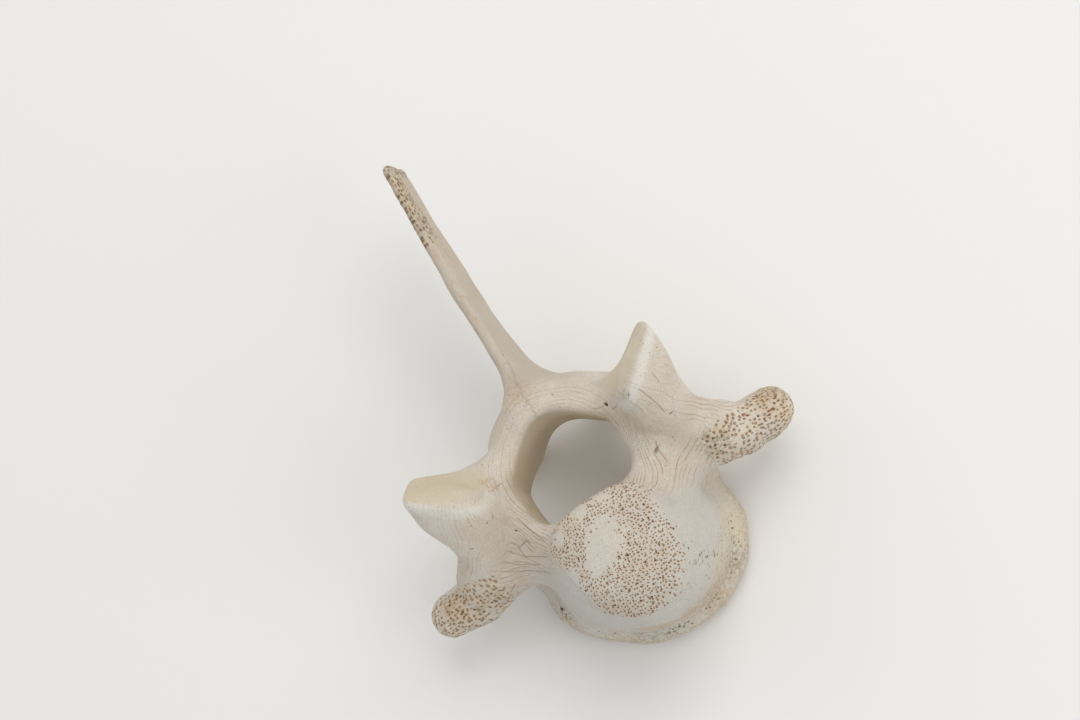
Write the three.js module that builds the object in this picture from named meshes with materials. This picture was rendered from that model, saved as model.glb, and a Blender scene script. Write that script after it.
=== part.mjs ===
// Last neck vertebra of a young elk (Cervus canadensis), life size, lying on its tail-side end.
// The bone is one closed body. It is written as a distance field: ellipsoids, tapering struts and
// flat faces are joined and cut with soft edges, and the zero surface of the field is then meshed.
//
// Bone frame, in millimetres: +x to the animal's left, +y towards the tail, +z towards the back.
// The origin is on the midline, on the floor of the spinal canal, level with its front opening.

import * as THREE from 'three';

// Driving dimensions, in millimetres
const CELL = 3.0;                  // side of a meshing cell
const CANAL_WIDTH = 35.2;
const CANAL_HEIGHT = 29.6;
const CANAL_CENTRE_Z = 13.8;
const CANAL_FLARE = 0.9;           // how much narrower the canal is on each side at its tail end
const HEAD_FRONT_Y = -6.0;         // most forward point of the body's head
const HEAD_HALF_WIDTH = 16.0;
const BODY_HALF_HEIGHT = 19.0;
const BODY_CENTRE_Z = -19.6;
const BODY_REAR_Y = 52.0;
const REAR_HALF_WIDTH = 30.6;
const RIM_HEIGHT = 2.0;            // how far the rear rim stands out from the body
const RIM_CENTRE_Y = 47.4;
const ARCH_FRONT_Y = 10.5;
const ARCH_REAR_Y = 46.0;
const ARCH_THICKNESS = 7.2;
const REAR_NOTCH = 11.0;           // depth of the notch behind each pedicle
const SPINE_FOOT_Z = 34.0;
const SPINE_TIP_Z = 124.0;
const SPINE_FRONT_Y = 12.5;
const SPINE_REAR_Y = 42.0;
const SPAN_HALF = 65.0;            // midline to the tip of a transverse process
const FACET_TIP = [45.6, -15.5, 27.8];
const FACET_FACING = [-0.60, -0.41, 0.69];
const TWIST = 0.035;               // the front end is rolled a little against the rear end
const LEAN = 3.0;                  // how far the lower body is pushed to the left

// Rest: the bone lies on the tail side of its body and on the two rear articular processes
const REST_TILT = THREE.MathUtils.degToRad(6.6);
const REST_REACH = 56.5;           // bone origin to the surface that the bone lies on

const BONE_COLOUR = 0xd9d2c5;
const BONE_ROUGHNESS = 0.8;

// Soft joins: the corner between two surfaces is rounded over about the width k
function softMin(a, b, k) {
  const h = Math.max(k - Math.abs(a - b), 0) / k;
  return Math.min(a, b) - h * h * k * 0.25;
}

function softMax(a, b, k) {
  return -softMin(-a, -b, k);
}

function clamp01(t) {
  return Math.min(Math.max(t, 0), 1);
}

// 0 at start and beyond it, 1 at end and beyond it, smooth between them
function fade(value, start, end) {
  const t = clamp01((value - start) / (end - start));
  return t * t * (3 - 2 * t);
}

function normalised(v) {
  const length = Math.hypot(...v);
  return v.map((c) => c / length);
}

function dot(a, b) {
  return a[0] * b[0] + a[1] * b[1] + a[2] * b[2];
}

function cross(a, b) {
  return [
    a[1] * b[2] - a[2] * b[1],
    a[2] * b[0] - a[0] * b[2],
    a[0] * b[1] - a[1] * b[0],
  ];
}

// Approximate distance to an ellipsoid, from offsets u, v, w along its axes
function ellipsoidal(u, v, w, ru, rv, rw) {
  const near = Math.hypot(u / ru, v / rv, w / rw) + 1e-9;
  const slope = Math.hypot(u / (ru * ru), v / (rv * rv), w / (rw * rw)) + 1e-9;
  return (near * (near - 1)) / slope;
}

function ellipsoid(p, centre, radii) {
  return ellipsoidal(p[0] - centre[0], p[1] - centre[1], p[2] - centre[2], ...radii);
}

function flatFace(p, point, outward) {
  const n = normalised(outward);
  return dot([p[0] - point[0], p[1] - point[1], p[2] - point[2]], n);
}

// A chain of tapering lengths with elliptical sections. A station is [x, y, z, radius along side,
// radius across it].
function strut(p, stations, side) {
  let nearest = Infinity;
  for (let i = 0; i + 1 < stations.length; i += 1) {
    const [a, b] = [stations[i], stations[i + 1]];
    const ab = [b[0] - a[0], b[1] - a[1], b[2] - a[2]];
    const ap = [p[0] - a[0], p[1] - a[1], p[2] - a[2]];
    const t = clamp01(dot(ap, ab) / dot(ab, ab));
    const along = normalised(ab);
    const lean = dot(side, along);
    const wide = normalised(side.map((c, axis) => c - lean * along[axis]));
    const thin = cross(along, wide);
    const off = ap.map((c, axis) => c - t * ab[axis]);
    const ru = a[3] + t * (b[3] - a[3]);
    const rv = a[4] + t * (b[4] - a[4]);
    const d = ellipsoidal(dot(off, wide), dot(off, thin), dot(off, along), ru, rv, Math.min(ru, rv));
    nearest = Math.min(nearest, d);
  }
  return nearest;
}

// Tunnel or tube along y with an elliptical section
function tunnel(p, centreZ, rx, rz) {
  const [x, z] = [p[0], p[2] - centreZ];
  const near = Math.hypot(x / rx, z / rz) + 1e-9;
  const slope = Math.hypot(x / (rx * rx), z / (rz * rz)) + 1e-9;
  return (near * (near - 1)) / slope;
}

// Spinal canal: square at its floor, narrow at its roof and a little wider behind
function canalField(p) {
  const [x, y, z] = p;
  const narrow = 1 - 0.3 * fade(z, 15, 29);
  const power = 2 + 2 * fade(z, 16, 4);
  const u = Math.abs(x / ((CANAL_WIDTH / 2) * narrow)) ** power;
  const v = Math.abs((z - CANAL_CENTRE_Z) / (CANAL_HEIGHT / 2)) ** power;
  const flare = CANAL_FLARE * clamp01((y - 10) / 36);
  return ((u + v) ** (1 / power) - 1) * (CANAL_HEIGHT / 2) * narrow - flare;
}

// Vertebral body: an egg-shaped section that widens towards the tail, a domed head in front, and a
// shallow socket with a raised rim behind
function bodyField(p) {
  const [x, y, z] = p;
  const t = clamp01((y + 4) / 56);
  const low = clamp01((BODY_CENTRE_Z - z) / 22);
  const growth = REAR_HALF_WIDTH - HEAD_HALF_WIDTH;
  const halfWidth = (HEAD_HALF_WIDTH + growth * t ** 0.75) * (1 - (0.42 - 0.17 * t) * low ** 1.4);
  const halfHeight = BODY_HALF_HEIGHT + 3.4 * t ** 0.75;
  const u = Math.abs(x / halfWidth) ** 2.5;
  const v = Math.abs((z - BODY_CENTRE_Z) / halfHeight) ** 2.5;
  const section = ((u + v) ** 0.4 - 1) * Math.min(halfWidth, halfHeight) * 0.9;
  const domeRadius = 34;
  const dome = ellipsoid(p, [0, HEAD_FRONT_Y + domeRadius, -19], [domeRadius, domeRadius, domeRadius]);
  const rim = softMax(section - RIM_HEIGHT, Math.abs(y - RIM_CENTRE_Y) - 4.6, 4.5);
  const socket = ellipsoid(p, [0, BODY_REAR_Y + 8, BODY_CENTRE_Z], [25, 16, 15]);
  const ribSeat = ellipsoid(p, [25, 46, -4], [8, 6, 7]);
  let body = softMax(softMax(section, y - BODY_REAR_Y, 5), dome, 4);
  body = softMin(body, rim, 4);
  body = softMax(body, -socket, 3);
  return softMin(body, ribSeat, 6);
}

// Arch over the canal, with the pedicles that carry it and a notch behind each pedicle
function archField(p) {
  const [, y, z] = p;
  const outer = tunnel(p, CANAL_CENTRE_Z - 0.3, CANAL_WIDTH / 2 + ARCH_THICKNESS, CANAL_HEIGHT / 2 + 8.2);
  const front = ARCH_FRONT_Y + 0.05 * z - y;
  const rear = y - ARCH_REAR_Y - 0.05 * (z - 20) + REAR_NOTCH * fade(z, 22, 6);
  const ring = softMax(softMax(softMax(outer, front, 5), rear, 5), -4 - z, 4);
  const pedicle = strut(p, [
    [12, 25, -14, 11, 9],
    [19.5, 25, 1, 12, 8.5],
    [24.5, 25, 18, 14, 8],
  ], [0, 1, 0]);
  return softMin(ring, pedicle, 6);
}

// Transverse process, with the flat web that runs up to the front articular process
function transverseField(p, rightShare) {
  const process = strut(p, [
    [24, 27, 4, 13, 12],
    [35, 30, 1, 11.5, 10.5],
    [47, 34, -3.5, 9, 8],
    [SPAN_HALF - 8, 37, -2.8, 8.5, 7],
  ], [0, 1, 0.2]);
  const web = strut(p, [
    [35, -4, 18, 6.5, 5],
    [34, 5.5, 12.5, 7, 5],
    [36, 14.5, 6.5, 6.5, 5],
    [42, 26, 0.5, 6.5, 5],
  ], [0.85, 0.07, 0.52]);
  return softMin(process, web - 0.5 * rightShare, 7);
}

// Front articular process: a wedge with its joint facet on top, a broad front face and a side face
function frontProcessField(p) {
  const [tx, ty, tz] = FACET_TIP;
  const facet = flatFace(p, FACET_TIP, FACET_FACING);
  const front = flatFace(p, FACET_TIP, [0.45, -0.55, -0.7]);
  const nose = flatFace(p, [tx, ty + 0.5, tz], [0.1, -0.97, 0.1]);
  const side = flatFace(p, [tx + 0.6, ty, tz], [0.96, 0.22, -0.17]);
  const inner = flatFace(p, [24.5, -10, 15.5], [-0.97, -0.15, -0.15]);
  const rear = flatFace(p, [37, 9, 31], [0.25, 0.75, 0.62]);
  const under = flatFace(p, [24, 8, 10.5], [-0.506, -0.086, -0.858]);
  const top = softMax(softMax(facet, softMax(front, nose, 4), 3), side, 4.5);
  return softMax(softMax(top, softMax(inner, rear, 6), 4), under, 9);
}

// Rear articular process: a short tongue with its facet underneath
function rearProcessField(p) {
  const tongue = strut(p, [
    [13, 30, 30, 9, 7],
    [16, 44, 29.5, 11.5, 6.8],
    [17.5, 52, 28.5, 10.5, 6.2],
    [18, 55, 28, 8, 5.6],
  ], [1, 0, -0.4]);
  return softMax(tongue, flatFace(p, [18, 50, 25.4], [0.42, 0.12, -0.9]), 2.2);
}

// Neural spine: a long blade, thin in front and thicker behind, that bows a little to the right
function spineField(x, y, z) {
  const s = clamp01((z - SPINE_FOOT_Z) / (SPINE_TIP_Z - SPINE_FOOT_Z - 4));
  const tipSwell = 1.5 * Math.exp(-(((s - 1) / 0.12) ** 2));
  const front = SPINE_FRONT_Y + 13 * s ** 0.75 - tipSwell;
  const rear = SPINE_REAR_Y - 3 * s + 6 * Math.exp(-s / 0.08) + tipSwell;
  const bow = -1.6 * Math.sin(Math.PI * s ** 0.8) - 2 * s;
  const middle = (front + rear) / 2;
  const half = (rear - front) / 2;
  const v = clamp01((y - front) / (rear - front));
  const thickness = (2.1 + 3.0 * v) * (1 - 0.34 * s) + 6 * v * Math.exp(-s / 0.1);
  const profile = Math.sqrt(((x - bow) / thickness) ** 2 + ((y - middle) / half) ** 6);
  let blade = softMax((profile - 1) * thickness, Math.abs(y - middle) - half, 3);
  blade = softMax(blade, z - SPINE_TIP_Z, 3);
  return softMax(blade, 28 - z, 3);
}

// The whole bone: negative inside. The two sides mirror each other, apart from the twist, the lean
// of the body, the bow of the spine and a fuller web on the right.
function boneField(x, y, z) {
  const rolled = z - TWIST * x * clamp01((22 - y) / 25);
  const across = x - LEAN * clamp01((-6 - rolled) / 30) ** 2;
  const p = [Math.abs(across), y, rolled];
  const rightShare = clamp01(-x / 20);
  let bone = softMin(bodyField(p), archField(p), 7);
  bone = softMin(bone, transverseField(p, rightShare), 8);
  bone = softMin(bone, frontProcessField(p), 9);
  bone = softMin(bone, rearProcessField(p), 5);
  bone = softMax(bone, -ellipsoid(p, [0, 58, 32], [9, 16, 14]), 4);
  bone = softMin(bone, spineField(x, y, rolled), 16);
  bone = softMax(bone, -canalField(p), 3);
  const floorFace = y * Math.cos(REST_TILT) - z * Math.sin(REST_TILT) - REST_REACH;
  return softMax(bone, floorFace, 0.4);
}

// Grid of field values over the bone's box
function sampleGrid(low, high, cell) {
  const count = low.map((c, axis) => Math.ceil((high[axis] - c) / cell) + 1);
  const values = new Float64Array(count[0] * count[1] * count[2]);
  const at = (i, j, k) => (i * count[1] + j) * count[2] + k;
  for (let i = 0; i < count[0]; i += 1) {
    for (let j = 0; j < count[1]; j += 1) {
      for (let k = 0; k < count[2]; k += 1) {
        values[at(i, j, k)] = boneField(low[0] + i * cell, low[1] + j * cell, low[2] + k * cell);
      }
    }
  }
  return { low, cell, count, values, at };
}

const CORNERS = [];
for (let bits = 0; bits < 8; bits += 1) {
  CORNERS.push([bits & 1, (bits >> 1) & 1, (bits >> 2) & 1]);
}

const CELL_EDGES = [];
for (let a = 0; a < 8; a += 1) {
  for (const bit of [1, 2, 4]) {
    if ((a & bit) === 0) {
      CELL_EDGES.push([a, a | bit]);
    }
  }
}

// True where the corners marked in the mask hang together along the edges of the cell
function isConnected(mask) {
  if (mask === 0) {
    return true;
  }
  let reached = mask & -mask;
  for (let pass = 0; pass < 8; pass += 1) {
    for (const [a, b] of CELL_EDGES) {
      const [bitA, bitB] = [1 << a, 1 << b];
      if ((mask & bitA) && (mask & bitB) && ((reached & bitA) || (reached & bitB))) {
        reached |= bitA | bitB;
      }
    }
  }
  return reached === mask;
}

function cellMask(grid, i, j, k) {
  let mask = 0;
  CORNERS.forEach(([di, dj, dk], corner) => {
    if (grid.values[grid.at(i + di, j + dj, k + dk)] < 0) {
      mask |= 1 << corner;
    }
  });
  return mask;
}

function forEachCell(grid, visit) {
  for (let i = 0; i + 1 < grid.count[0]; i += 1) {
    for (let j = 0; j + 1 < grid.count[1]; j += 1) {
      for (let k = 0; k + 1 < grid.count[2]; k += 1) {
        visit(i, j, k);
      }
    }
  }
}

// Where two sheets would meet in one cell, its outer corner nearest to the surface is filled
function fillDoubtfulCells(grid) {
  let changed = true;
  while (changed) {
    changed = false;
    forEachCell(grid, (i, j, k) => {
      const mask = cellMask(grid, i, j, k);
      const clean = isConnected(mask) && isConnected(~mask & 255);
      const faces = mask !== 0 && mask !== 255 && hasCrossedFace(mask);
      if (clean && !faces) {
        return;
      }
      let best = -1;
      CORNERS.forEach(([di, dj, dk]) => {
        const index = grid.at(i + di, j + dj, k + dk);
        const value = grid.values[index];
        if (value >= 0 && (best < 0 || value < grid.values[best])) {
          best = index;
        }
      });
      grid.values[best] = -0.02 * grid.cell;
      changed = true;
    });
  }
}

// True where a face of the cell has only its two opposite corners inside
function hasCrossedFace(mask) {
  for (const [u, v, w] of [[1, 2, 4], [2, 4, 1], [4, 1, 2]]) {
    for (const base of [0, w]) {
      const inside = [base, base | u, base | v, base | u | v].map((corner) => (mask >> corner) & 1);
      if (inside[0] === inside[3] && inside[1] === inside[2] && inside[0] !== inside[1]) {
        return true;
      }
    }
  }
  return false;
}

// One vertex in each cell that the surface crosses, at the mean of its edge crossings
function placeVertices(grid) {
  const vertices = [];
  const indexOf = new Map();
  forEachCell(grid, (i, j, k) => {
    const sum = [0, 0, 0];
    let crossings = 0;
    for (const [a, b] of CELL_EDGES) {
      const va = grid.values[grid.at(i + CORNERS[a][0], j + CORNERS[a][1], k + CORNERS[a][2])];
      const vb = grid.values[grid.at(i + CORNERS[b][0], j + CORNERS[b][1], k + CORNERS[b][2])];
      if ((va < 0) !== (vb < 0)) {
        const t = va / (va - vb);
        sum.forEach((c, axis) => {
          sum[axis] = c + CORNERS[a][axis] + t * (CORNERS[b][axis] - CORNERS[a][axis]);
        });
        crossings += 1;
      }
    }
    if (crossings > 0) {
      const place = [i, j, k].map((c, axis) => grid.low[axis] + (c + sum[axis] / crossings) * grid.cell);
      indexOf.set(grid.at(i, j, k), vertices.length);
      vertices.push(place);
    }
  });
  return { vertices, indexOf };
}

function gradientAt([x, y, z]) {
  const h = 0.05;
  return [
    (boneField(x + h, y, z) - boneField(x - h, y, z)) / (2 * h),
    (boneField(x, y + h, z) - boneField(x, y - h, z)) / (2 * h),
    (boneField(x, y, z + h) - boneField(x, y, z - h)) / (2 * h),
  ];
}

// Moves a vertex on to the true surface in a few short steps
function pullToSurface(place, reach) {
  let current = place;
  for (let step = 0; step < 4; step += 1) {
    const slope = gradientAt(current);
    const steep = Math.max(dot(slope, slope), 0.25);
    const value = boneField(...current);
    const move = THREE.MathUtils.clamp(value / steep, -reach, reach);
    current = current.map((c, axis) => c - move * slope[axis]);
  }
  return current;
}

// Splits each four-sided face along the diagonal whose middle lies nearer to the surface
function splitFace(vertices, quad) {
  const [a, b, c, d] = quad;
  const middleError = (p, q) => Math.abs(boneField(
    (vertices[p][0] + vertices[q][0]) / 2,
    (vertices[p][1] + vertices[q][1]) / 2,
    (vertices[p][2] + vertices[q][2]) / 2,
  ));
  if (middleError(a, c) <= middleError(b, d)) {
    return [a, b, c, a, c, d];
  }
  return [b, c, d, b, d, a];
}

// Joins the four cells round each grid edge that the surface crosses
function joinVertices(grid, vertices, indexOf) {
  const triangles = [];
  const axes = [[0, 1, 2], [1, 2, 0], [2, 0, 1]];
  for (const [main, u, v] of axes) {
    for (let i = 1; i + 1 < grid.count[0]; i += 1) {
      for (let j = 1; j + 1 < grid.count[1]; j += 1) {
        for (let k = 1; k + 1 < grid.count[2]; k += 1) {
          const here = [i, j, k];
          const next = here.map((c, axis) => c + (axis === main ? 1 : 0));
          const insideHere = grid.values[grid.at(...here)] < 0;
          const insideNext = grid.values[grid.at(...next)] < 0;
          if (insideHere === insideNext) {
            continue;
          }
          const cellAt = (du, dv) => indexOf.get(grid.at(...here.map((c, axis) => {
            if (axis === u) {
              return c - du;
            }
            return axis === v ? c - dv : c;
          })));
          const ring = [cellAt(1, 1), cellAt(0, 1), cellAt(0, 0), cellAt(1, 0)];
          if (!insideHere) {
            ring.reverse();
          }
          triangles.push(...splitFace(vertices, ring));
        }
      }
    }
  }
  return triangles;
}

function boneGeometry() {
  const low = [-SPAN_HALF - 7, -21, -48];
  const high = [SPAN_HALF + 7, 66, SPINE_TIP_Z + 5];
  const grid = sampleGrid(low, high, CELL);
  fillDoubtfulCells(grid);
  const { vertices, indexOf } = placeVertices(grid);
  const pulled = vertices.map((place) => pullToSurface(place, CELL / 4));
  const geometry = new THREE.BufferGeometry();
  geometry.setAttribute('position', new THREE.Float32BufferAttribute(pulled.flat(), 3));
  geometry.setIndex(joinVertices(grid, pulled, indexOf));
  geometry.computeVertexNormals();
  return geometry;
}

const boneMaterial = new THREE.MeshStandardMaterial({
  color: BONE_COLOUR,
  roughness: BONE_ROUGHNESS,
  metalness: 0,
});

const vertebra = new THREE.Mesh(boneGeometry(), boneMaterial);
vertebra.name = 'vertebra';

// Laid on its tail side: the head of the body looks up and the spine points along +y
const laid = new THREE.Group();
laid.rotation.x = REST_TILT - Math.PI / 2;
laid.position.z = REST_REACH;
laid.add(vertebra);

// The origin is under the middle of the bone's box, on the surface that it lies on
const part = new THREE.Group();
part.add(laid);
part.updateMatrixWorld(true);
const box = new THREE.Box3().setFromObject(part, true);
laid.position.x = -(box.min.x + box.max.x) / 2;
laid.position.y = -(box.min.y + box.max.y) / 2;

export default part;
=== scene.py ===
# Last neck vertebra of a young elk, in the finish of dry, weathered bone.
# The visible bone is one fine mesh that stands for the solid. It is meshed from the same distance
# field as the solid, from the same named sizes, and then carved with the pores, cracks and holes
# that are too small for the solid.
#
# Bone frame, in millimetres: +x to the animal's left, +y towards the tail, +z towards the back.
# Its origin is on the midline, on the floor of the spinal canal, level with its front opening.

import math
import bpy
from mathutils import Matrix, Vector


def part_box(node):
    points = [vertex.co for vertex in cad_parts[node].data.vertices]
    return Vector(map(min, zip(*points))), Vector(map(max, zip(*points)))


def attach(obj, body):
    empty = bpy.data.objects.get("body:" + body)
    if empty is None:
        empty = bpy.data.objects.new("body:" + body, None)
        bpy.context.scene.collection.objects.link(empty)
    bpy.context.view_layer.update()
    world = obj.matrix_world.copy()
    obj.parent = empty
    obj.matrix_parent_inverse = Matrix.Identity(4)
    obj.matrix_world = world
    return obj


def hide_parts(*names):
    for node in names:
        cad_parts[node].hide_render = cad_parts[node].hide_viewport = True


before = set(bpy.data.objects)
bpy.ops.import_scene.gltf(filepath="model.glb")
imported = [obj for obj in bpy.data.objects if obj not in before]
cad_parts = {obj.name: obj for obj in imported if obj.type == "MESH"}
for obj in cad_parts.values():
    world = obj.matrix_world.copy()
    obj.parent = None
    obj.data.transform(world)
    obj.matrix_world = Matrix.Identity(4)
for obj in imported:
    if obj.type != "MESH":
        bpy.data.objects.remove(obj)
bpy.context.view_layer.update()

from types import SimpleNamespace

import bpy
import numpy as np
from mathutils import Matrix, Vector
from mathutils.bvhtree import BVHTree
from mathutils.kdtree import KDTree

# Driving dimensions of the bone, in millimetres
CANAL_WIDTH = 35.2
CANAL_HEIGHT = 29.6
CANAL_CENTRE_Z = 13.8
CANAL_FLARE = 0.9
HEAD_FRONT_Y = -6.0
HEAD_HALF_WIDTH = 16.0
DOME_RADIUS = 34.0
DOME_CENTRE_Z = -19.0
BODY_HALF_HEIGHT = 19.0
BODY_CENTRE_Z = -19.6
BODY_REAR_Y = 52.0
REAR_HALF_WIDTH = 30.6
RIM_HEIGHT = 2.0
RIM_CENTRE_Y = 47.4
ARCH_FRONT_Y = 10.5
ARCH_REAR_Y = 46.0
ARCH_THICKNESS = 7.2
REAR_NOTCH = 11.0
SPINE_FOOT_Z = 34.0
SPINE_TIP_Z = 124.0
SPINE_FRONT_Y = 12.5
SPINE_REAR_Y = 42.0
SPAN_HALF = 65.0
FACET_TIP = (45.6, -15.5, 27.8)
FACET_FACING = (-0.60, -0.41, 0.69)
TWIST = 0.035
LEAN = 3.0
REST_TILT = math.radians(6.6)
REST_REACH = 56.5

# The photo's camera, in the bone frame and in pixels of the photo
FRAME_WIDTH = 1080
FRAME_HEIGHT = 720
FOCAL_LENGTH = 2839.0
CAMERA_AZIMUTH = math.radians(8.1)
CAMERA_ELEVATION = math.radians(-8.8)
CAMERA_ROLL = math.radians(31.7)
CAMERA_DISTANCE = 840.0
AIM = np.array([0.0, 15.0, 0.0])
AIM_PIXEL = (596.5, 505.0)
MM_PER_PIXEL = CAMERA_DISTANCE / FOCAL_LENGTH

# Mesh sizes, in millimetres, and how many times the coarse mesh's long edges are halved
CELL = 1.6
COARSE_EDGE = 1.3
HEAD_EDGE = 0.7
TIP_EDGE = 0.7
RIM_EDGE = 0.8
MARK_EDGE = 0.35
MARK_VOXEL = 0.5
CRACK_EDGE = 0.25
CRACK_VOXEL = 0.45
CRACK_STEP = 0.15
SPLIT_PASSES = 4


def soft_min(a, b, k):
    """Smaller of two fields, with the corner between them rounded over about the width k."""
    h = np.maximum(k - np.abs(a - b), 0) / k
    return np.minimum(a, b) - h * h * k * 0.25


def soft_max(a, b, k):
    """Larger of two fields, with the same rounding."""
    return -soft_min(-a, -b, k)


def unit(v):
    v = np.asarray(v, float)
    return v / np.linalg.norm(v)


def fade(value, start, end):
    """0 at start and beyond it, 1 at end and beyond it, smooth between them."""
    t = np.clip((value - start) / (end - start), 0, 1)
    return t * t * (3 - 2 * t)


def blend(share, a, b):
    """a where the share is 0, b where it is 1."""
    return (1 - share) * a + share * b


def ellipsoidal(u, v, w, ru, rv, rw):
    """Approximate distance to an ellipsoid, from offsets along its axes."""
    near = np.sqrt((u / ru) ** 2 + (v / rv) ** 2 + (w / rw) ** 2) + 1e-9
    slope = np.sqrt((u / ru**2) ** 2 + (v / rv**2) ** 2 + (w / rw**2) ** 2) + 1e-9
    return near * (near - 1) / slope


def ellipsoid(p, centre, radii):
    return ellipsoidal(*(p - np.array(centre)).T, *radii)


def flat_face(p, point, outward):
    """Distance out from the plane through that point."""
    return (p - np.array(point)) @ unit(outward)


def strut(p, stations, side):
    """Chain of tapering lengths with elliptical sections. A station is (x, y, z, radius along side,
    radius across it)."""
    nearest = np.full(len(p), 1e9)
    stations = np.array(stations, float)
    for a, b in zip(stations[:-1], stations[1:]):
        ab = b[:3] - a[:3]
        t = np.clip((p - a[:3]) @ ab / (ab @ ab), 0, 1)
        along = unit(ab)
        wide = unit(np.array(side) - (np.array(side) @ along) * along)
        thin = np.cross(along, wide)
        off = p - (a[:3] + t[:, None] * ab)
        ru = a[3] + t * (b[3] - a[3])
        rv = a[4] + t * (b[4] - a[4])
        d = ellipsoidal(off @ wide, off @ thin, off @ along, ru, rv, np.minimum(ru, rv))
        nearest = np.minimum(nearest, d)
    return nearest


def tunnel(p, centre_z, rx, rz):
    """Tube along y with an elliptical section."""
    return ellipsoidal(p[:, 0], 0, p[:, 2] - centre_z, rx, 1, rz)


def canal_field(p):
    """Spinal canal: square at its floor, narrow at its roof and a little wider behind."""
    x, y, z = p.T
    narrow = 1 - 0.3 * fade(z, 15, 29)
    power = 2 + 2 * fade(z, 16, 4)
    u = np.abs(x / (CANAL_WIDTH / 2 * narrow)) ** power
    v = np.abs((z - CANAL_CENTRE_Z) / (CANAL_HEIGHT / 2)) ** power
    flare = CANAL_FLARE * np.clip((y - 10) / 36, 0, 1)
    return ((u + v) ** (1 / power) - 1) * CANAL_HEIGHT / 2 * narrow - flare


def body_section(p):
    """Egg-shaped section of the body, which widens towards the tail."""
    x, y, z = p.T
    t = np.clip((y + 4) / 56, 0, 1)
    low = np.clip((BODY_CENTRE_Z - z) / 22, 0, 1)
    growth = REAR_HALF_WIDTH - HEAD_HALF_WIDTH
    half_width = (HEAD_HALF_WIDTH + growth * t**0.75) * (1 - (0.42 - 0.17 * t) * low**1.4)
    half_height = BODY_HALF_HEIGHT + 3.4 * t**0.75
    u = np.abs(x / half_width) ** 2.5
    v = np.abs((z - BODY_CENTRE_Z) / half_height) ** 2.5
    return ((u + v) ** 0.4 - 1) * np.minimum(half_width, half_height) * 0.9


def dome_field(p):
    """Ball whose front is the domed head of the body."""
    return ellipsoid(p, (0, HEAD_FRONT_Y + DOME_RADIUS, DOME_CENTRE_Z), (DOME_RADIUS,) * 3)


def body_field(p):
    """Vertebral body: a domed head in front, and a shallow socket with a raised rim behind."""
    y = p[:, 1]
    section = body_section(p)
    rim = soft_max(section - RIM_HEIGHT, np.abs(y - RIM_CENTRE_Y) - 4.6, 4.5)
    socket = ellipsoid(p, (0, BODY_REAR_Y + 8, BODY_CENTRE_Z), (25, 16, 15))
    rib_seat = ellipsoid(p, (25, 46, -4), (8, 6, 7))
    body = soft_max(soft_max(section, y - BODY_REAR_Y, 5), dome_field(p), 4)
    body = soft_min(body, rim, 4)
    body = soft_max(body, -socket, 3)
    return soft_min(body, rib_seat, 6)


def arch_field(p):
    """Arch over the canal, with the pedicles that carry it and a notch behind each pedicle."""
    y, z = p[:, 1], p[:, 2]
    outer = tunnel(p, CANAL_CENTRE_Z - 0.3, CANAL_WIDTH / 2 + ARCH_THICKNESS, CANAL_HEIGHT / 2 + 8.2)
    front = ARCH_FRONT_Y + 0.05 * z - y
    rear = y - ARCH_REAR_Y - 0.05 * (z - 20) + REAR_NOTCH * fade(z, 22, 6)
    ring = soft_max(soft_max(soft_max(outer, front, 5), rear, 5), -4 - z, 4)
    pedicle = strut(p, [(12, 25, -14, 11, 9), (19.5, 25, 1, 12, 8.5), (24.5, 25, 18, 14, 8)], (0, 1, 0))
    return soft_min(ring, pedicle, 6)


def transverse_field(p, right_share):
    """Transverse process, with the low web that runs up to the front articular process."""
    process = strut(p, [
        (24, 27, 4, 13, 12), (35, 30, 1, 11.5, 10.5), (47, 34, -3.5, 9, 8),
        (SPAN_HALF - 8, 37, -2.8, 8.5, 7),
    ], (0, 1, 0.2))
    web = strut(p, [
        (35, -4, 18, 6.5, 5), (34, 5.5, 12.5, 7, 5), (36, 14.5, 6.5, 6.5, 5), (42, 26, 0.5, 6.5, 5),
    ], (0.85, 0.07, 0.52))
    return soft_min(process, web - 0.5 * right_share, 7)


def front_process_field(p):
    """Front articular process: a wedge with its joint facet on top and a broad front face."""
    tx, ty, tz = FACET_TIP
    facet = flat_face(p, FACET_TIP, FACET_FACING)
    front = flat_face(p, FACET_TIP, (0.45, -0.55, -0.70))
    nose = flat_face(p, (tx, ty + 0.5, tz), (0.1, -0.97, 0.1))
    side = flat_face(p, (tx + 0.6, ty, tz), (0.96, 0.22, -0.17))
    inner = flat_face(p, (24.5, -10, 15.5), (-0.97, -0.15, -0.15))
    rear = flat_face(p, (37, 9, 31), (0.25, 0.75, 0.62))
    under = flat_face(p, (24, 8, 10.5), (-0.506, -0.086, -0.858))
    top = soft_max(soft_max(facet, soft_max(front, nose, 4), 3), side, 4.5)
    return soft_max(soft_max(top, soft_max(inner, rear, 6), 4), under, 9)


def rear_process_field(p):
    """Rear articular process: a short tongue with its facet underneath."""
    tongue = strut(p, [
        (13, 30, 30, 9, 7), (16, 44, 29.5, 11.5, 6.8), (17.5, 52, 28.5, 10.5, 6.2), (18, 55, 28, 8, 5.6),
    ], (1, 0, -0.4))
    return soft_max(tongue, flat_face(p, (18, 50, 25.4), (0.42, 0.12, -0.9)), 2.2)


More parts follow.
